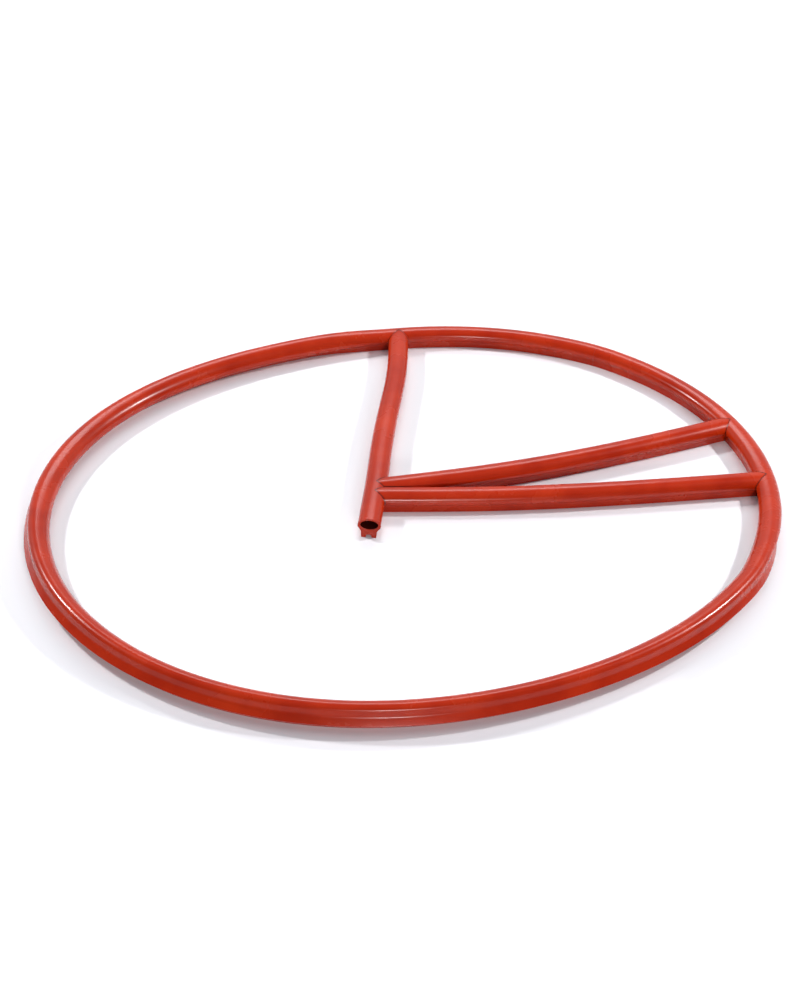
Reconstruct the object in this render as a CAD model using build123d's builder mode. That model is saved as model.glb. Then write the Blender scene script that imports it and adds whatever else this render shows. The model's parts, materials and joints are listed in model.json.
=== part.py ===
"""Spliced silicone bulb seal: a hollow cord bent into an oval ring, with three tee-jointed cords inside.

Every cord is the same extrusion, a wide hollow bulb on a narrower slotted foot. The ring is closed
from two lengths with butt splices. Each inner cord ends in a spear point that sits in a vee notch of
the cord it meets, and a thin film of cured silicone bonds every joint. The seal lies on the floor,
foot down along its right side, and its free left arc leans over so that the foot swings outward.
"""

import os
from math import cos, degrees, radians, sin, sqrt

from build123d import *

os.makedirs("parts", exist_ok=True)

# Extrusion, millimetres. Heights are measured from the floor up an upright cord.
bulb_width = 40.0
cord_height = 39.5
widest_height = 24.5
shoulder_radius = 6.8
underside_slope = 35.0
neck_width = 27.6
neck_height = 13.5
foot_width = 25.6
slot_width = 9.8
slot_height = 6.2
slot_crown = 1.6
bore_width = 31.0
bore_height = 18.3
bore_lift = 2.1

# Ring in plan: a round ring, pushed out into an oval, and very slightly egg-shaped.
ring_mean_radius = 596.0
oval_swing = 64.0
oval_axis = 29.2
egg_swing = 3.0
egg_axis = 60.0

# The ring kinks outward a little at each butt splice, and settles again within a few degrees.
splice_swell = 3.0
splice_spread = 6.0

# Lean of the ring's free arc, as (bearing, lean) in degrees, with the foot swung outward.
lean_stations = ((97, 0), (117, 29), (150, 31), (190, 36), (222, 50), (290, 48), (340, 42), (367, 0))

# Joints round the ring, as bearings from +X, and along the rear cord.
upper_splice_bearing = 57.0
side_splice_bearing = -17.5
rear_tee_bearing = 96.5
upper_tee_bearing = 26.4
lower_tee_bearing = 10.1
hub_upper = (-73.0, -1.0)
hub_lower = (-74.0, -29.0)
open_end = (-76.8, -116.0)
film = 0.8

# Each notch in the ring is cut a little deeper than the ring's centre line.
notch_overcut = 0.5

# Loft spacing and the sizes of the cutting tools.
ring_step = 6.0
cord_sections = 9
tool_reach = 60.0
bore_overrun = 2.0
foot_spare = 1.0
tool_span = 1500.0


# ---- extrusion section --------------------------------------------------------------------------


def outline(plane, spare=0.0):
    """Outside of the extrusion, with the bulb's widest line through the plane's origin.

    The spare is a length added to the foot, to be trimmed flat at the floor.
    """
    half_bulb = bulb_width / 2
    crest = cord_height - widest_height
    base = -widest_height
    slope = radians(underside_slope)
    shoulder_x = half_bulb - shoulder_radius * (1 - cos(slope))
    shoulder_y = -shoulder_radius * sin(slope)
    neck = (neck_width / 2, base + neck_height)
    foot = (foot_width / 2, base - spare)
    slot = slot_width / 2
    crown_radius = (slot**2 + slot_crown**2) / (2 * slot_crown)
    with BuildSketch(plane) as face:
        with BuildLine():
            EllipticalCenterArc((0, 0), half_bulb, crest, start_angle=0, arc_size=90)
            TangentArc((half_bulb, 0), (shoulder_x, shoulder_y), tangent=(0, -1))
            Line((shoulder_x, shoulder_y), neck)
            Line(neck, foot)
            Line(foot, (slot, base - spare))
            Line((slot, base - spare), (slot, base + slot_height - slot_crown))
            RadiusArc((slot, base + slot_height - slot_crown), (0, base + slot_height), -crown_radius)
            mirror(about=Plane.YZ)
        make_face()
    return face.sketch


def bore(plane):
    """Oval bore of the extrusion, drawn as quarter arcs so that its seams line up along a loft."""
    across, high = bore_width / 2, bore_height / 2
    with BuildSketch(plane) as face:
        with BuildLine():
            for quarter in range(4):
                start = 90 * quarter
                EllipticalCenterArc((0, bore_lift), across, high, start_angle=start, arc_size=90)
        make_face()
    return face.sketch


def outlines(planes, spare=0.0):
    """Outside faces for a loft along a cord."""
    return [outline(plane, spare) for plane in planes]


def bores(planes):
    """Bore faces for a loft along a cord, run past both of its ends so that it cuts through."""
    first, last = planes[0].offset(-bore_overrun), planes[-1].offset(bore_overrun)
    return [bore(plane) for plane in (first, *planes[1:-1], last)]


# ---- ring path ----------------------------------------------------------------------------------


def lean_at(bearing):
    """Lean of the ring's section at a bearing, eased between the stations."""
    angle = (degrees(bearing) - lean_stations[0][0]) % 360 + lean_stations[0][0]
    for (start, low), (end, high) in zip(lean_stations, lean_stations[1:]):
        if start <= angle <= end:
            share = (angle - start) / (end - start)
            return radians(low + (high - low) * share * share * (3 - 2 * share))
    return 0.0


def ring_point(bearing):
    """Centre of the bulb at a bearing; a leaning cord stands on the inner corner of its foot."""
    radius = ring_mean_radius
    radius += oval_swing * cos(2 * (bearing - radians(oval_axis)))
    radius += egg_swing * cos(3 * (bearing - radians(egg_axis)))
    for splice in (upper_splice_bearing, side_splice_bearing):
        away = abs((degrees(bearing) - splice + 180) % 360 - 180)
        radius += splice_swell / (1 + (away / splice_spread) ** 2)
    lean = lean_at(bearing)
    height = widest_height * cos(lean) + foot_width / 2 * sin(lean)
    return Vector(radius * cos(bearing), radius * sin(bearing), height)


def ring_heading(bearing):
    """Direction of the ring's centre line, anticlockwise from above."""
    nudge = 1e-4
    return (ring_point(bearing + nudge) - ring_point(bearing - nudge)).normalized()


def ring_plane(bearing):
    """Plane of the ring's section, with its Y axis up the leaning cord."""
    heading = ring_heading(bearing)
    outward = Vector(heading.Y, -heading.X, 0).normalized()
    lean = lean_at(bearing)
    upright = Vector(0, 0, cos(lean)) - outward * sin(lean)
    return Plane(origin=ring_point(bearing), x_dir=upright.cross(heading), z_dir=heading)


def ring_planes(start, end):
    """Evenly spaced section planes of the ring between two bearings in degrees."""
    count = max(1, round((end - start) / ring_step))
    bearings = [start + (end - start) * index / count for index in range(count + 1)]
    return [ring_plane(radians(bearing)) for bearing in bearings]


def film_turn(bearing):
    """Half of a butt film's thickness, as an angle in degrees round the ring."""
    point = ring_point(radians(bearing))
    return degrees(film / 2 / sqrt(point.X**2 + point.Y**2))


# ---- inner cords --------------------------------------------------------------------------------


def cord_path(*points):
    """Centre line of an inner cord through plan points, level at the bulb's widest height."""
    return Spline(*[(point[0], point[1], widest_height) for point in points])


def cord_planes(path):
    """Upright section planes spaced along an inner cord's centre line."""
    planes = []
    for index in range(cord_sections):
        share = index / (cord_sections - 1)
        heading = path % share
        across = Vector(0, 0, 1).cross(heading)
        planes.append(Plane(origin=path @ share, x_dir=across, z_dir=heading))
    return planes


# ---- vee joints ---------------------------------------------------------------------------------


def vee(apex, through, branch, reach, setback=0.0):
    """Upright wedge that holds a branch's spear point: its faces mitre the two cords."""
    left = (branch.normalized() + through.normalized()).normalized()
    right = (branch.normalized() - through.normalized()).normalized()
    middle = (left + right).normalized()
    tip = Vector(apex.X, apex.Y, 0) + middle * setback * sqrt(2)
    with BuildPart() as wedge:
        with BuildSketch(Plane.XY.offset(-bulb_width)):
            with BuildLine():
                Polyline(
                    (tip.X, tip.Y),
                    (tip.X + left.X * reach, tip.Y + left.Y * reach),
                    (tip.X + right.X * reach, tip.Y + right.Y * reach),
                    close=True,
                )
            make_face()
        extrude(amount=3 * bulb_width)
    return wedge.part


class Tee:
    """A vee joint: where it is, and its notch, spear and film tools."""

    def __init__(self, apex, through, branch):
        self.notch = vee(apex, through, branch, tool_reach)
        self.spear = vee(apex, through, branch, tool_span, film)
        self.layer = self.notch - self.spear


def notch_point(bearing):
    """Bottom of a notch in the ring, where the branch's centre line ends."""
    point = ring_point(radians(bearing))
    return point + Vector(point.X, point.Y, 0).normalized() * notch_overcut


rear_tee_point = notch_point(rear_tee_bearing)
upper_tee_point = notch_point(upper_tee_bearing)
lower_tee_point = notch_point(lower_tee_bearing)

rear_path = cord_path(
    (rear_tee_point.X, rear_tee_point.Y), (-57.5, 409), (-65, 258), (-71, 119), hub_upper, hub_lower, open_end
)
upper_path = cord_path(hub_upper, (168, 85), (395, 190), (upper_tee_point.X, upper_tee_point.Y))
lower_path = cord_path(hub_lower, (168, 6), (386, 52), (lower_tee_point.X, lower_tee_point.Y))

hub_heading = Vector(hub_lower[0] - hub_upper[0], hub_lower[1] - hub_upper[1], 0)
rear_tee = Tee(rear_tee_point, ring_heading(radians(rear_tee_bearing)), rear_path % 0)
upper_tee = Tee(upper_tee_point, ring_heading(radians(upper_tee_bearing)), -(upper_path % 1))
lower_tee = Tee(lower_tee_point, ring_heading(radians(lower_tee_bearing)), -(lower_path % 1))
hub_upper_tee = Tee(Vector(*hub_upper, 0), hub_heading, upper_path % 0)
hub_lower_tee = Tee(Vector(*hub_lower, 0), hub_heading, lower_path % 0)

# The upper and lower cords run together beside the rear cord: this upright sheet parts them.
web_start = (Vector(*hub_upper, 0) + Vector(*hub_lower, 0)) * 0.5
web_heading = (upper_path % 0 + lower_path % 0).normalized()
web_plane = Plane(origin=web_start, x_dir=web_heading, z_dir=(0, 0, 1))


def web_block(low, high):
    """Block along the sheet as far as the two right-hand cords touch, from low to high across it."""
    length = 2.5 * tool_reach
    with BuildPart() as block:
        with BuildSketch(web_plane.offset(-bulb_width)):
            with Locations((length / 2 - tool_reach / 2, (low + high) / 2)):
                Rectangle(length, high - low)
        extrude(amount=3 * bulb_width)
    return block.part


under_web = web_block(-2 * bulb_width, film / 2)
over_web = web_block(-film / 2, 2 * bulb_width)
web_layer = web_block(-film / 2, film / 2)


# ---- ring pieces --------------------------------------------------------------------------------

upper_turn = film_turn(upper_splice_bearing)
side_turn = film_turn(side_splice_bearing)
side_splice_again = side_splice_bearing + 360

long_planes = ring_planes(upper_splice_bearing + upper_turn, side_splice_again - side_turn)
short_planes = ring_planes(side_splice_bearing + side_turn, upper_splice_bearing - upper_turn)
upper_planes = ring_planes(upper_splice_bearing - upper_turn, upper_splice_bearing + upper_turn)
side_planes = ring_planes(side_splice_bearing - side_turn, side_splice_bearing + side_turn)

with BuildPart() as ring_long_length:
    loft(sections=outlines(long_planes))
    loft(sections=bores(long_planes), mode=Mode.SUBTRACT)
    add(rear_tee.notch, mode=Mode.SUBTRACT)
ring_long_length.part.label = "ring_long_length"
export_step(ring_long_length.part, "parts/ring_long_length.step")

with BuildPart() as ring_short_length:
    loft(sections=outlines(short_planes))
    loft(sections=bores(short_planes), mode=Mode.SUBTRACT)
    add(upper_tee.notch, mode=Mode.SUBTRACT)
    add(lower_tee.notch, mode=Mode.SUBTRACT)
ring_short_length.part.label = "ring_short_length"
export_step(ring_short_length.part, "parts/ring_short_length.step")

with BuildPart() as upper_butt_splice:
    loft(sections=outlines(upper_planes))
    loft(sections=bores(upper_planes), mode=Mode.SUBTRACT)
upper_butt_splice.part.label = "upper_butt_splice"
export_step(upper_butt_splice.part, "parts/upper_butt_splice.step")

with BuildPart() as side_butt_splice:
    loft(sections=outlines(side_planes))
    loft(sections=bores(side_planes), mode=Mode.SUBTRACT)
side_butt_splice.part.label = "side_butt_splice"
export_step(side_butt_splice.part, "parts/side_butt_splice.step")


# ---- inner cords and their bonds ----------------------------------------------------------------

with BuildPart() as rear_blank:
    loft(sections=outlines(cord_planes(rear_path), foot_spare))
    split(bisect_by=Plane.XY, keep=Keep.TOP)
    loft(sections=bores(cord_planes(rear_path)), mode=Mode.SUBTRACT)

with BuildPart() as upper_blank:
    loft(sections=outlines(cord_planes(upper_path), foot_spare))
    split(bisect_by=Plane.XY, keep=Keep.TOP)
    loft(sections=bores(cord_planes(upper_path)), mode=Mode.SUBTRACT)

with BuildPart() as lower_blank:
    loft(sections=outlines(cord_planes(lower_path), foot_spare))
    split(bisect_by=Plane.XY, keep=Keep.TOP)
    loft(sections=bores(cord_planes(lower_path)), mode=Mode.SUBTRACT)

with BuildPart() as rear_cord:
    add(rear_blank.part)
    add(rear_tee.spear, mode=Mode.INTERSECT)
    add(hub_upper_tee.notch, mode=Mode.SUBTRACT)
    add(hub_lower_tee.notch, mode=Mode.SUBTRACT)
rear_cord.part.label = "rear_cord"
export_step(rear_cord.part, "parts/rear_cord.step")

with BuildPart() as upper_cord:
    add(upper_blank.part)
    add(hub_upper_tee.spear, mode=Mode.INTERSECT)
    add(upper_tee.spear, mode=Mode.INTERSECT)
    add(under_web, mode=Mode.SUBTRACT)
upper_cord.part.label = "upper_cord"
export_step(upper_cord.part, "parts/upper_cord.step")

with BuildPart() as lower_cord:
    add(lower_blank.part)
    add(hub_lower_tee.spear, mode=Mode.INTERSECT)
    add(lower_tee.spear, mode=Mode.INTERSECT)
    add(over_web, mode=Mode.SUBTRACT)
lower_cord.part.label = "lower_cord"
export_step(lower_cord.part, "parts/lower_cord.step")

with BuildPart() as rear_tee_bond:
    add(rear_blank.part)
    add(rear_tee.layer, mode=Mode.INTERSECT)
rear_tee_bond.part.label = "rear_tee_bond"
export_step(rear_tee_bond.part, "parts/rear_tee_bond.step")

with BuildPart() as upper_tee_bond:
    add(upper_blank.part)
    add(upper_tee.layer, mode=Mode.INTERSECT)
upper_tee_bond.part.label = "upper_tee_bond"
export_step(upper_tee_bond.part, "parts/upper_tee_bond.step")

with BuildPart() as lower_tee_bond:
    add(lower_blank.part)
    add(lower_tee.layer, mode=Mode.INTERSECT)
lower_tee_bond.part.label = "lower_tee_bond"
export_step(lower_tee_bond.part, "parts/lower_tee_bond.step")

with BuildPart() as hub_upper_bond:
    add(upper_blank.part)
    add(hub_upper_tee.layer, mode=Mode.INTERSECT)
    add(under_web, mode=Mode.SUBTRACT)
hub_upper_bond.part.label = "hub_upper_bond"
export_step(hub_upper_bond.part, "parts/hub_upper_bond.step")

with BuildPart() as hub_lower_bond:
    add(lower_blank.part)
    add(hub_lower_tee.layer, mode=Mode.INTERSECT)
    add(over_web, mode=Mode.SUBTRACT)
hub_lower_bond.part.label = "hub_lower_bond"
export_step(hub_lower_bond.part, "parts/hub_lower_bond.step")

with BuildPart() as hub_web_bond:
    add(upper_blank.part)
    add(web_layer, mode=Mode.INTERSECT)
    add(hub_upper_tee.spear, mode=Mode.INTERSECT)
hub_web_bond.part.label = "hub_web_bond"
export_step(hub_web_bond.part, "parts/hub_web_bond.step")
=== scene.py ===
"""Looks of the spliced silicone bulb seal: softened cords, bonded joints, rubber materials and a studio."""

import json
import math

import bmesh
import bpy
import numpy as np
from mathutils import Matrix, Vector, noise


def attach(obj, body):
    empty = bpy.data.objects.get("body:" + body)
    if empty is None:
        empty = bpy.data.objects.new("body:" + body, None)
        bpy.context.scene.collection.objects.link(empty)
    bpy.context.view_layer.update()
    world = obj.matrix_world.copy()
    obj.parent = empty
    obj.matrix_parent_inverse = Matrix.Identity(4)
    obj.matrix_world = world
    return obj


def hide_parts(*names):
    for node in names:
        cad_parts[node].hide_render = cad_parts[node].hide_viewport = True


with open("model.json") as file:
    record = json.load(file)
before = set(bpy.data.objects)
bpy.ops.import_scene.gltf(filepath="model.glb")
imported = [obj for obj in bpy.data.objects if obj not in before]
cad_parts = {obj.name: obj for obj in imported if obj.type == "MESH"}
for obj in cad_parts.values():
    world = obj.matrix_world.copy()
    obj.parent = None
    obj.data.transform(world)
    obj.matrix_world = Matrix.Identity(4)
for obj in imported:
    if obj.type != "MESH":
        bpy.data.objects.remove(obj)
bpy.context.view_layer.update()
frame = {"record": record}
MM = 0.001

# ---- extrusion section, metres, with its origin on the bulb's widest line --------------------------

BULB, HEIGHT, WIDEST = 40.0 * MM, 39.5 * MM, 24.5 * MM
SHOULDER, SLOPE = 6.8 * MM, math.radians(35.0)
NECK_W, NECK_H, FOOT_W = 27.6 * MM, 13.5 * MM, 25.6 * MM
SLOT_W, SLOT_H, SLOT_CROWN = 9.8 * MM, 6.2 * MM, 1.6 * MM
BORE_W, BORE_H, BORE_LIFT = 31.0 * MM, 18.3 * MM, 2.1 * MM
NECK_FILLET, FOOT_ROUND, SLOT_ROUND = 8.0 * MM, 0.9 * MM, 0.5 * MM
CREST_POINTS, SHOULDER_POINTS, BORE_POINTS = 23, 6, 48


def rounded(before, corner, after, radius, steps=5):
    """Points of a round that replaces a corner."""
    corner = Vector(corner)
    a, b = (Vector(before) - corner).normalized(), (Vector(after) - corner).normalized()
    half = a.angle(b) / 2
    centre = corner + (a + b).normalized() * (radius / math.sin(half))
    start = corner + a * (radius / math.tan(half)) - centre
    end = corner + b * (radius / math.tan(half)) - centre
    turn = start.angle_signed(end)
    return [centre + Matrix.Rotation(-turn * i / steps, 2) @ start for i in range(steps + 1)]


def half_outline(grow):
    """Right-hand half of the outside, from the crest down to the middle of the slot."""
    across, up = BULB / 2 + grow, HEIGHT - WIDEST + grow
    base = -WIDEST - grow
    crest = np.linspace(0, math.pi / 2, CREST_POINTS)
    points = [Vector((across * math.sin(t), up * math.cos(t))) for t in crest]
    shoulder = SHOULDER + grow
    middle = Vector((BULB / 2 - SHOULDER, 0))
    for turn in np.linspace(0, SLOPE, SHOULDER_POINTS)[1:]:
        points.append(middle + Vector((math.cos(turn), -math.sin(turn))) * shoulder)
    neck = Vector((NECK_W / 2 + grow, -WIDEST + NECK_H))
    foot = Vector((FOOT_W / 2 + grow, base))
    slot = Vector((SLOT_W / 2 - grow, base))
    crown = Vector((SLOT_W / 2 - grow, -WIDEST + SLOT_H - SLOT_CROWN))
    top = Vector((0, -WIDEST + SLOT_H))
    points += rounded(points[-1], neck, foot, NECK_FILLET)
    points += rounded(neck, foot, slot, FOOT_ROUND)
    points += rounded(foot, slot, crown, SLOT_ROUND, 3)
    points.append(crown)
    for share in (0.25, 0.5, 0.75):
        points.append(Vector((crown.x * (1 - share), crown.y + SLOT_CROWN * math.sin(share * math.pi / 2))))
    points.append(top)
    return points


def outline(grow=0.0):
    """Whole outside of the section, once round."""
    right = half_outline(grow)
    return right + [Vector((-p.x, p.y)) for p in reversed(right[1:-1])]


def bore():
    """Oval bore of the section, once round."""
    turns = np.linspace(0, 2 * math.pi, BORE_POINTS, endpoint=False)
    return [Vector((BORE_W / 2 * math.sin(t), BORE_LIFT + BORE_H / 2 * math.cos(t))) for t in turns]


# ---- centre lines ----------------------------------------------------------------------------------

RING_RADIUS, OVAL, OVAL_AXIS, EGG, EGG_AXIS = 596.0 * MM, 64.0 * MM, 29.2, 3.0 * MM, 60.0
LEAN = ((97, 0), (117, 29), (150, 31), (190, 36), (222, 50), (290, 48), (340, 42), (367, 0))
SWELL, SPREAD = 3.0 * MM, 6.0
UPPER_SPLICE, SIDE_SPLICE = 57.0, -17.5
REAR_TEE, UPPER_TEE, LOWER_TEE = 96.5, 26.4, 10.1
HUB_UPPER, HUB_LOWER, OPEN_END = (-73, -1), (-74, -29), (-76.8, -116)
RING_STEP, CORD_STEP, BEAD_STEP = 7.2 * MM, 6.0 * MM, 4.0 * MM
FILM, OVERCUT = 0.8 * MM, 0.5 * MM
Z = Vector((0, 0, 1))


def lean_at(bearing):
    angle = (bearing - LEAN[0][0]) % 360 + LEAN[0][0]
    for (start, low), (end, high) in zip(LEAN, LEAN[1:]):
        if start <= angle <= end:
            share = (angle - start) / (end - start)
            return math.radians(low + (high - low) * share * share * (3 - 2 * share))
    return 0.0


def ring_point(bearing):
    turn = math.radians(bearing)
    radius = RING_RADIUS + OVAL * math.cos(2 * (turn - math.radians(OVAL_AXIS)))
    radius += EGG * math.cos(3 * (turn - math.radians(EGG_AXIS)))
    for splice in (UPPER_SPLICE, SIDE_SPLICE):
        radius += SWELL / (1 + (((bearing - splice + 180) % 360 - 180) / SPREAD) ** 2)
    lean = lean_at(bearing)
    height = WIDEST * math.cos(lean) + FOOT_W / 2 * math.sin(lean)
    return Vector((radius * math.cos(turn), radius * math.sin(turn), height))


def ring_heading(bearing):
    return (ring_point(bearing + 0.01) - ring_point(bearing - 0.01)).normalized()


def ring_station(bearing):
    """Origin, across and up of the ring's section at a bearing."""
    heading = ring_heading(bearing)
    outward = Vector((heading.y, -heading.x, 0)).normalized()
    lean = lean_at(bearing)
    upright = Z * math.cos(lean) - outward * math.sin(lean)
    across = upright.cross(heading).normalized()
    return ring_point(bearing), across, heading.cross(across)


def ring_stations(start, end):
    length = math.radians(end - start) * RING_RADIUS
    return [ring_station(b) for b in np.linspace(start, end, max(2, round(length / RING_STEP) + 1))]


class Track:
    """Natural cubic spline through plan points, level at the bulb's widest height."""

    def __init__(self, *points):
        self.knots = np.array([(x * MM, y * MM) for x, y in points])
        gaps = np.linalg.norm(np.diff(self.knots, axis=0), axis=1)
        self.at = np.concatenate([[0], np.cumsum(gaps)])
        count = len(points)
        matrix, right = np.eye(count), np.zeros((count, 2))
        for i in range(1, count - 1):
            matrix[i, i - 1 : i + 2] = gaps[i - 1], 2 * (gaps[i - 1] + gaps[i]), gaps[i]
            slopes = np.diff(self.knots[i - 1 : i + 2], axis=0) / gaps[i - 1 : i + 1, None]
            right[i] = 6 * (slopes[1] - slopes[0])
        self.bend = np.linalg.solve(matrix, right)

    def point(self, s):
        i = int(np.clip(np.searchsorted(self.at, s) - 1, 0, len(self.at) - 2))
        gap = self.at[i + 1] - self.at[i]
        a, b = (self.at[i + 1] - s) / gap, (s - self.at[i]) / gap
        p = a * self.knots[i] + b * self.knots[i + 1]
        p = p + ((a**3 - a) * self.bend[i] + (b**3 - b) * self.bend[i + 1]) * gap**2 / 6
        return Vector((p[0], p[1], WIDEST))

    def heading(self, s):
        return (self.point(s + 1e-4) - self.point(s - 1e-4)).normalized()

    def stations(self):
        found = []
        for s in np.linspace(0, self.at[-1], round(self.at[-1] / CORD_STEP) + 1):
            found.append((self.point(s), Z.cross(self.heading(s)).normalized(), Z.copy()))
        return found


def notch_point(bearing):
    """Bottom of a notch in the ring, a little past the ring's centre line."""
    point = ring_point(bearing)
    return point + Vector((point.x, point.y, 0)).normalized() * OVERCUT


def plan(bearing):
    point = notch_point(bearing)
    return point.x / MM, point.y / MM


rear_track = Track(plan(REAR_TEE), (-57.5, 409), (-65, 258), (-71, 119), HUB_UPPER, HUB_LOWER, OPEN_END)
upper_track = Track(HUB_UPPER, (168, 85), (395, 190), plan(UPPER_TEE))
lower_track = Track(HUB_LOWER, (168, 6), (386, 52), plan(LOWER_TEE))


# ---- meshes ----------------------------------------------------------------------------------------


def wander(point, seed):
    """Slow unevenness of the bulb, as a fraction of its size."""
    return 0.012 * noise.noise(point * 6.0 + Vector((seed, 0, 0))) + 0.004 * noise.noise(point * 21.0)


def sweep(name, stations, grow=0.0, seed=0.0):
    """Closed mesh of the section carried along stations, with a map of metres along and around it."""
    loops = [outline(grow), bore()]
    mesh = bmesh.new()
    chart = mesh.loops.layers.uv.new("along_around")
    along, rows = 0.0, [[] for _ in loops]
    runs = []
    for index, (origin, across, up) in enumerate(stations):
        along += (origin - stations[index - 1][0]).length if index else 0.0
        runs.append(along)
        swell = 1 + wander(origin, seed)
        for row, loop in zip(rows, loops):
            ring = []
            for p in loop:
                rise = p.y * (swell if p.y > 0 else 1.0)
                ring.append(mesh.verts.new(origin + across * (p.x * swell) + up * rise))
            row.append(ring)
    for layer, (row, loop) in enumerate(zip(rows, loops)):
        count = len(loop)
        around = [0.0]
        for k in range(count):
            around.append(around[-1] + (loop[(k + 1) % count] - loop[k]).length)
        for i in range(len(row) - 1):
            for k in range(count):
                n = (k + 1) % count
                corners = [(row[i][k], i, k), (row[i][n], i, k + 1)]
                corners += [(row[i + 1][n], i + 1, k + 1), (row[i + 1][k], i + 1, k)]
                if layer:
                    corners.reverse()
                face = mesh.faces.new([c[0] for c in corners])
                face.smooth = True
                face.material_index = layer
                for edge_loop, (_, step, turn) in zip(face.loops, corners):
                    edge_loop[chart].uv = runs[step], around[turn]
    for end in (0, -1):
        edges = []
        for row in rows:
            ring = row[end]
            edges += [mesh.edges.get((ring[k], ring[(k + 1) % len(ring)])) for k in range(len(ring))]
        bmesh.ops.triangle_fill(mesh, edges=edges, use_beauty=True)
    bmesh.ops.recalc_face_normals(mesh, faces=mesh.faces)
    data = bpy.data.meshes.new(name)
    for _ in ("outside", "bore"):
        data.materials.append(None)
    mesh.to_mesh(data)
    mesh.free()
    piece = bpy.data.objects.new(name, data)
    bpy.context.scene.collection.objects.link(piece)
    return piece


TOOL_BOTTOM, TOOL_TOP = -0.05, 0.1


def prism(name, corners):
    """Upright block over plan corners, used as a tool."""
    mesh = bmesh.new()
    low = [mesh.verts.new((x, y, TOOL_BOTTOM)) for x, y in corners]
    high = [mesh.verts.new((x, y, TOOL_TOP)) for x, y in corners]
    mesh.faces.new(low)
    mesh.faces.new(high)
    for k in range(len(corners)):
        n = (k + 1) % len(corners)
        mesh.faces.new((low[k], low[n], high[n], high[k]))
    bmesh.ops.recalc_face_normals(mesh, faces=mesh.faces)
    data = bpy.data.meshes.new(name)
    mesh.to_mesh(data)
    mesh.free()
    tool = bpy.data.objects.new(name, data)
    bpy.context.scene.collection.objects.link(tool)
    return tool


def cut(piece, *steps):
    """Carries out boolean steps, each an operation and a tool, and removes the tools."""
    for operation, tool in steps:
        modifier = piece.modifiers.new("cut", "BOOLEAN")
        modifier.operation, modifier.object, modifier.solver = operation, tool, "EXACT"
    bpy.context.view_layer.update()
    result = piece.evaluated_get(bpy.context.evaluated_depsgraph_get())
    data = bpy.data.meshes.new_from_object(result)
    piece.modifiers.clear()
    old = piece.data
    piece.data = data
    data.name = old.name
    bpy.data.meshes.remove(old)
    for _, tool in steps:
        bpy.data.objects.remove(tool)
    return piece


class Vee:
    """Vee joint in plan: apex, the two face directions and the middle."""

    def __init__(self, apex, through, branch):
        branch, through = branch.normalized(), through.normalized()
        self.apex = Vector((apex.x, apex.y, 0))
        self.left, self.right = (branch + through).normalized(), (branch - through).normalized()
        self.middle = (self.left + self.right).normalized()

    def tip(self, setback):
        return self.apex + self.middle * setback * math.sqrt(2)

    def wedge(self, setback, reach):
        tip = self.tip(setback)
        ends = tip + self.left * reach, tip + self.right * reach
        return prism("tool", [(p.x, p.y) for p in (tip, *ends)])

    def layer(self, near, far, reach=0.09):
        outer, inner = self.tip(near), self.tip(far)
        corners = [outer, outer + self.left * reach, inner + self.left * reach, inner]
        corners += [inner + self.right * reach, outer + self.right * reach]
        return prism("tool", [(p.x, p.y) for p in corners])


hub_line = Vector((HUB_LOWER[0] - HUB_UPPER[0], HUB_LOWER[1] - HUB_UPPER[1], 0))
flat = Vector((1, 1, 0))
upper_end, lower_end = upper_track.at[-1], lower_track.at[-1]
rear_vee = Vee(notch_point(REAR_TEE), ring_heading(REAR_TEE) * flat, rear_track.heading(0))
upper_vee = Vee(notch_point(UPPER_TEE), ring_heading(UPPER_TEE) * flat, -upper_track.heading(upper_end))
lower_vee = Vee(notch_point(LOWER_TEE), ring_heading(LOWER_TEE) * flat, -lower_track.heading(lower_end))
hub_upper_vee = Vee(upper_track.point(0), hub_line, upper_track.heading(0))
hub_lower_vee = Vee(lower_track.point(0), hub_line, lower_track.heading(0))

web_from = (upper_track.point(0) + lower_track.point(0)) / 2
web_along = (upper_track.heading(0) + lower_track.heading(0)).normalized()
web_side = Z.cross(web_along)


WEB_START, WEB_END = -0.03, 0.12


def web_block(low, high):
    """Upright block along the sheet between the two right-hand cords, from low to high across it."""
    corners = []
    for run, side in ((WEB_START, low), (WEB_END, low), (WEB_END, high), (WEB_START, high)):
        p = web_from + web_along * run + web_side * side
        corners.append((p.x, p.y))
    return prism("tool", corners)


REACH, SPAN = 0.06, 1.5
half_film = math.degrees(FILM / 2 / RING_RADIUS)
pieces = {}

pieces["ring_long_length"] = cut(
    sweep("long_length", ring_stations(UPPER_SPLICE + half_film, SIDE_SPLICE + 360 - half_film), seed=1.0),
    ("DIFFERENCE", rear_vee.wedge(0, REACH)),
)
pieces["ring_short_length"] = cut(
    sweep("short_length", ring_stations(SIDE_SPLICE + half_film, UPPER_SPLICE - half_film), seed=1.0),
    ("DIFFERENCE", upper_vee.wedge(0, REACH)),
    ("DIFFERENCE", lower_vee.wedge(0, REACH)),
)
pieces["rear_cord"] = cut(
    sweep("rear_spoke", rear_track.stations(), seed=3.0),
    ("INTERSECT", rear_vee.wedge(FILM, SPAN)),
    ("DIFFERENCE", hub_upper_vee.wedge(0, REACH)),
    ("DIFFERENCE", hub_lower_vee.wedge(0, REACH)),
)
pieces["upper_cord"] = cut(
    sweep("upper_spoke", upper_track.stations(), seed=5.0),
    ("INTERSECT", hub_upper_vee.wedge(FILM, SPAN)),
    ("INTERSECT", upper_vee.wedge(FILM, SPAN)),
    ("DIFFERENCE", web_block(-2 * BULB, FILM / 2)),
)
pieces["lower_cord"] = cut(
    sweep("lower_spoke", lower_track.stations(), seed=7.0),
    ("INTERSECT", hub_lower_vee.wedge(FILM, SPAN)),
    ("INTERSECT", lower_vee.wedge(FILM, SPAN)),
    ("DIFFERENCE", web_block(-FILM / 2, 2 * BULB)),
)

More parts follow.
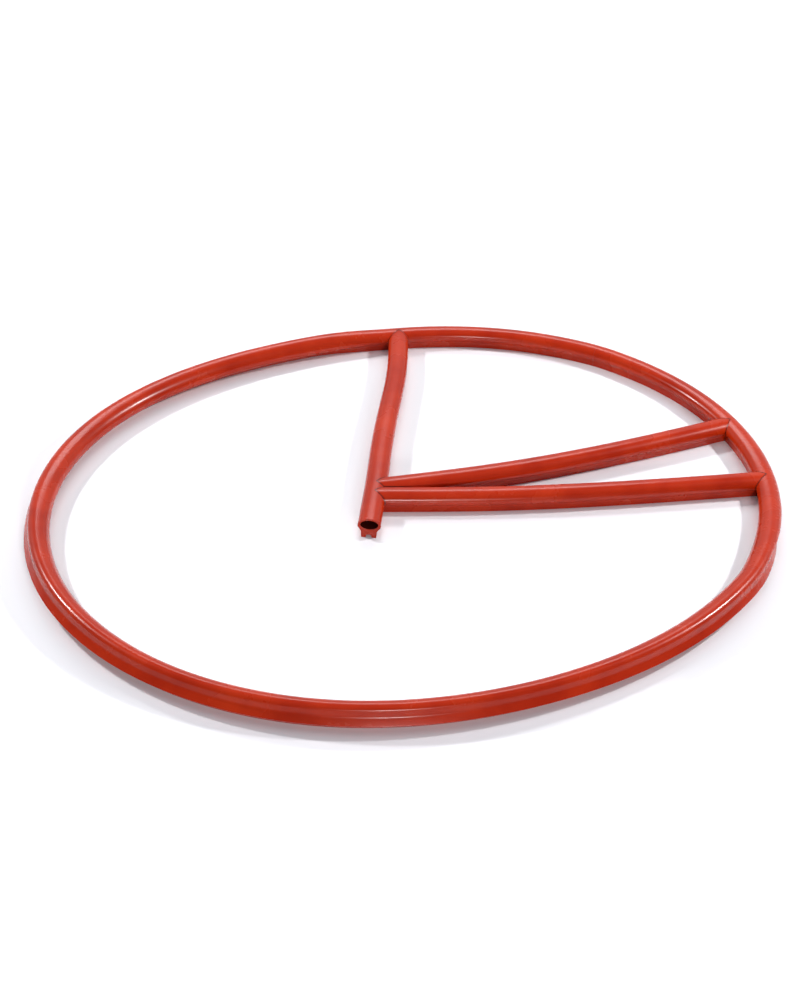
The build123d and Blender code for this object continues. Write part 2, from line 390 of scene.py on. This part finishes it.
# Beads of cured silicone: each covers its film and stands a little proud of both cords.
PROUD, NEAR, FAR = 0.25 * MM, -0.7 * MM, 1.5 * MM
WEB_HALF, BUTT_PROUD, BEAD_RUN = 1.2 * MM, 0.08 * MM, 0.07


def near_stations(track, start, end):
    """Closely spaced stations over a short run of a track."""
    runs = np.linspace(start, end, round((end - start) / BEAD_STEP) + 1)
    return [(track.point(s), Z.cross(track.heading(s)).normalized(), Z.copy()) for s in runs]


def bead(name, track, start, end, *steps):
    return cut(sweep(name, near_stations(track, start, end), PROUD, seed=9.0), *steps)


pieces["rear_tee_bond"] = bead(
    "rear_bead", rear_track, 0.0, BEAD_RUN, ("INTERSECT", rear_vee.layer(NEAR, FAR))
)
pieces["upper_tee_bond"] = bead(
    "upper_bead", upper_track, upper_end - BEAD_RUN, upper_end, ("INTERSECT", upper_vee.layer(NEAR, FAR))
)
pieces["lower_tee_bond"] = bead(
    "lower_bead", lower_track, lower_end - BEAD_RUN, lower_end, ("INTERSECT", lower_vee.layer(NEAR, FAR))
)
pieces["hub_upper_bond"] = bead(
    "hub_upper_bead",
    upper_track,
    0.0,
    BEAD_RUN,
    ("INTERSECT", hub_upper_vee.layer(NEAR, FAR)),
    ("DIFFERENCE", web_block(-2 * BULB, 0)),
)
pieces["hub_lower_bond"] = bead(
    "hub_lower_bead",
    lower_track,
    0.0,
    BEAD_RUN,
    ("INTERSECT", hub_lower_vee.layer(NEAR, FAR)),
    ("DIFFERENCE", web_block(0, 2 * BULB)),
)
pieces["hub_web_bond"] = bead(
    "web_bead",
    upper_track,
    0.0,
    WEB_END,
    ("INTERSECT", web_block(-WEB_HALF, WEB_HALF)),
    ("INTERSECT", hub_upper_vee.wedge(FILM, SPAN)),
)
for node, at in (("upper_butt_splice", UPPER_SPLICE), ("side_butt_splice", SIDE_SPLICE)):
    across_film = [ring_station(at + side * half_film) for side in (-1, -0.3, 0.3, 1)]
    pieces[node] = sweep(node + "_bead", across_film, BUTT_PROUD, seed=1.0)

# ---- materials -------------------------------------------------------------------------------------


def shader(name):
    material = bpy.data.materials.new(name)
    material.use_nodes = True
    nodes = material.node_tree.nodes
    return material, nodes, material.node_tree.links, nodes["Principled BSDF"]


def add_noise(nodes, links, source, scale, detail, stretch=(1, 1, 1)):
    mapping = nodes.new("ShaderNodeMapping")
    mapping.inputs["Scale"].default_value = stretch
    links.new(source, mapping.inputs["Vector"])
    texture = nodes.new("ShaderNodeTexNoise")
    texture.inputs["Scale"].default_value = scale
    texture.inputs["Detail"].default_value = detail
    links.new(mapping.outputs["Vector"], texture.inputs["Vector"])
    return texture.outputs["Fac"]


def ramp(nodes, links, source, stops):
    found = nodes.new("ShaderNodeValToRGB")
    elements = found.color_ramp.elements
    while len(elements) < len(stops):
        elements.new(0.5)
    for element, (place, colour) in zip(elements, stops):
        element.position, element.color = place, (*colour, 1)
    links.new(source, found.inputs["Fac"])
    return found.outputs["Color"]


def silicone(name, deep, main, pale, rough):
    """Cured silicone: mottled colour, faint streaks along the extrusion and a fine skin."""
    material, nodes, links, surface = shader(name)
    place = nodes.new("ShaderNodeTexCoord")
    mottle = add_noise(nodes, links, place.outputs["Object"], 14.0, 4.0)
    colour = ramp(nodes, links, mottle, ((0.3, deep), (0.52, main), (0.75, pale)))
    links.new(colour, surface.inputs["Base Color"])
    chart = nodes.new("ShaderNodeUVMap")
    chart.uv_map = "along_around"
    streaks = add_noise(nodes, links, chart.outputs["UV"], 1.0, 3.0, (4.0, 700.0, 1.0))
    grain = add_noise(nodes, links, place.outputs["Object"], 900.0, 2.0)
    gloss = nodes.new("ShaderNodeMapRange")
    gloss.inputs["To Min"].default_value = rough - 0.07
    gloss.inputs["To Max"].default_value = rough + 0.09
    links.new(mottle, gloss.inputs["Value"])
    links.new(gloss.outputs["Result"], surface.inputs["Roughness"])
    first = nodes.new("ShaderNodeBump")
    first.inputs["Strength"].default_value = 0.05
    first.inputs["Distance"].default_value = 0.00025
    links.new(streaks, first.inputs["Height"])
    second = nodes.new("ShaderNodeBump")
    second.inputs["Strength"].default_value = 0.10
    second.inputs["Distance"].default_value = 0.00012
    links.new(grain, second.inputs["Height"])
    links.new(first.outputs["Normal"], second.inputs["Normal"])
    links.new(second.outputs["Normal"], surface.inputs["Normal"])
    surface.inputs["Specular IOR Level"].default_value = 0.28
    surface.inputs["Coat Weight"].default_value = 0.08
    surface.inputs["Coat Roughness"].default_value = 0.12
    return material


cord_red = silicone("cord_silicone", (0.36, 0.015, 0.001), (0.43, 0.021, 0.0015), (0.49, 0.028, 0.002), 0.25)
splice_red = silicone(
    "splice_silicone", (0.30, 0.010, 0.0015), (0.36, 0.014, 0.002), (0.42, 0.02, 0.003), 0.28
)
bead_red = silicone("bead_silicone", (0.10, 0.006, 0.003), (0.14, 0.009, 0.004), (0.18, 0.013, 0.005), 0.28)
# Painted shade: the bore's inside is the same red silicone, painted near black to stand for the deep shade
# inside the hollow.
bore_painted_shade = silicone("bore_painted_shade_silicone", (0.05, 0.003, 0.001), (0.08, 0.005, 0.001), (0.11, 0.007, 0.002), 0.5)

finishes = {"silicone_red": cord_red, "splice_red": splice_red, "bond_red": bead_red}
slots = {entry["node"]: entry["material_slot"] for entry in frame["record"]["subparts"]}
SHARP_ANGLE = math.radians(38)
for node, piece in pieces.items():
    piece.data.materials[0] = finishes[slots[node]]
    # The bore faces take the near-black painted shade.
    piece.data.materials[1] = bore_painted_shade
    for polygon in piece.data.polygons:
        polygon.use_smooth = True
    piece.data.set_sharp_from_angle(angle=SHARP_ANGLE)
    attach(piece, "root")
    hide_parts(node)

# ---- studio ----------------------------------------------------------------------------------------

FLOOR_HALF, WHITE_FROM, WHITE_BEYOND = 20.0, 0.9, 2.2
floor_data = bpy.data.meshes.new("floor")
floor_corners = [(x * FLOOR_HALF, y * FLOOR_HALF, 0) for x, y in ((-1, -1), (1, -1), (1, 1), (-1, 1))]
floor_data.from_pydata(floor_corners, [], [(0, 1, 2, 3)])
floor = bpy.data.objects.new("floor", floor_data)
bpy.context.scene.collection.objects.link(floor)
pale, pale_nodes, pale_links, pale_surface = shader("pale_floor")
pale_surface.inputs["Base Color"].default_value = (0.87, 0.88, 0.91, 1)
pale_surface.inputs["Emission Color"].default_value = (1.0, 1.0, 1.0, 1)
pale_surface.inputs["Roughness"].default_value = 0.16
pale_surface.inputs["Specular IOR Level"].default_value = 0.4

# Away from the object the camera sees the floor fade to white; the object's own light is unchanged.
seen = pale_nodes.new("ShaderNodeLightPath")
spot = pale_nodes.new("ShaderNodeTexCoord")
reach = pale_nodes.new("ShaderNodeVectorMath")
reach.operation = "LENGTH"
pale_links.new(spot.outputs["Object"], reach.inputs[0])
far = pale_nodes.new("ShaderNodeMapRange")
far.interpolation_type = "SMOOTHSTEP"
far.inputs["From Min"].default_value = WHITE_FROM
far.inputs["From Max"].default_value = WHITE_BEYOND
pale_links.new(reach.outputs["Value"], far.inputs["Value"])
glow = pale_nodes.new("ShaderNodeMath")
glow.operation = "MULTIPLY_ADD"
glow.inputs[2].default_value = 0.03
pale_links.new(far.outputs["Result"], glow.inputs[0])
pale_links.new(seen.outputs["Is Camera Ray"], glow.inputs[1])
pale_links.new(glow.outputs["Value"], pale_surface.inputs["Emission Strength"])
floor_data.materials.append(pale)


def area(name, place, target, size, watts):
    lamp = bpy.data.lights.new(name, "AREA")
    lamp.shape, lamp.size, lamp.size_y = "RECTANGLE", size[0], size[1]
    lamp.energy = watts
    lamp_object = bpy.data.objects.new(name, lamp)
    lamp_object.location = place
    lamp_object.rotation_euler = (Vector(target) - Vector(place)).to_track_quat("-Z", "Y").to_euler()
    bpy.context.scene.collection.objects.link(lamp_object)


area("front_lamp", (0.7, -3.2, 1.2), (0, -0.5, 0), (0.45, 0.35), 42)
area("right_key", (2.4, 0.7, 1.9), (0.2, 0, 0), (0.22, 0.22), 56)
area("left_key", (-2.4, 0.7, 1.9), (-0.2, 0, 0), (0.22, 0.22), 56)
area("back_light", (0.0, 3.1, 3.0), (0, 2.4, 0), (2.4, 1.0), 60)

sun = bpy.data.lights.new("ceiling", "SUN")
sun.energy, sun.angle = 0.5, math.radians(50)
sun_object = bpy.data.objects.new("ceiling", sun)
sun_object.visible_glossy = False
bpy.context.scene.collection.objects.link(sun_object)

# The room: dim all round, with a bright white backdrop beyond the object.
world = bpy.data.worlds.new("studio")
bpy.context.scene.world = world
world.use_nodes = True
nodes, links = world.node_tree.nodes, world.node_tree.links
where = nodes.new("ShaderNodeTexCoord")
parts = nodes.new("ShaderNodeSeparateXYZ")
links.new(where.outputs["Generated"], parts.inputs["Vector"])


def fade(source, low, high):
    found = nodes.new("ShaderNodeMapRange")
    found.interpolation_type = "SMOOTHSTEP"
    found.inputs["From Min"].default_value, found.inputs["From Max"].default_value = low, high
    links.new(source, found.inputs["Value"])
    return found.outputs["Result"]


both = nodes.new("ShaderNodeMath")
both.operation = "MULTIPLY"
links.new(fade(parts.outputs["Y"], 0.15, 0.6), both.inputs[0])
links.new(fade(parts.outputs["Z"], 0.8, 0.5), both.inputs[1])
room = nodes.new("ShaderNodeMixRGB")
room.inputs["Color1"].default_value = (0.13, 0.14, 0.17, 1)
room.inputs["Color2"].default_value = (0.6, 0.6, 0.6, 1)
links.new(both.outputs["Value"], room.inputs["Fac"])
sight = nodes.new("ShaderNodeLightPath")
wall = nodes.new("ShaderNodeMixRGB")
wall.inputs["Color2"].default_value = (1.0, 1.0, 1.0, 1)
links.new(sight.outputs["Is Camera Ray"], wall.inputs["Fac"])
links.new(room.outputs["Color"], wall.inputs["Color1"])
links.new(wall.outputs["Color"], nodes["Background"].inputs["Color"])
bpy.context.scene.view_settings.view_transform = "Standard"

# ---- camera ----------------------------------------------------------------------------------------

PITCH, YAW, ROLL = math.radians(35.73), -0.0134, math.radians(3.82)
forward = Vector((math.sin(YAW) * math.cos(PITCH), math.cos(YAW) * math.cos(PITCH), -math.sin(PITCH)))
level = Vector((math.cos(YAW), -math.sin(YAW), 0))
upward = level.cross(forward)
sideways = level * math.cos(ROLL) + upward * math.sin(ROLL)
upward = upward * math.cos(ROLL) - level * math.sin(ROLL)
camera_data = bpy.data.cameras.new("camera")
camera_data.sensor_fit, camera_data.sensor_width, camera_data.lens = "AUTO", 36.0, 54.286
camera = bpy.data.objects.new("camera", camera_data)
turned = Matrix((sideways, upward, -forward)).transposed().to_4x4()
camera.matrix_world = Matrix.Translation((0.0006, -2.1837, 1.5718)) @ turned
bpy.context.scene.collection.objects.link(camera)
bpy.context.scene.camera = camera
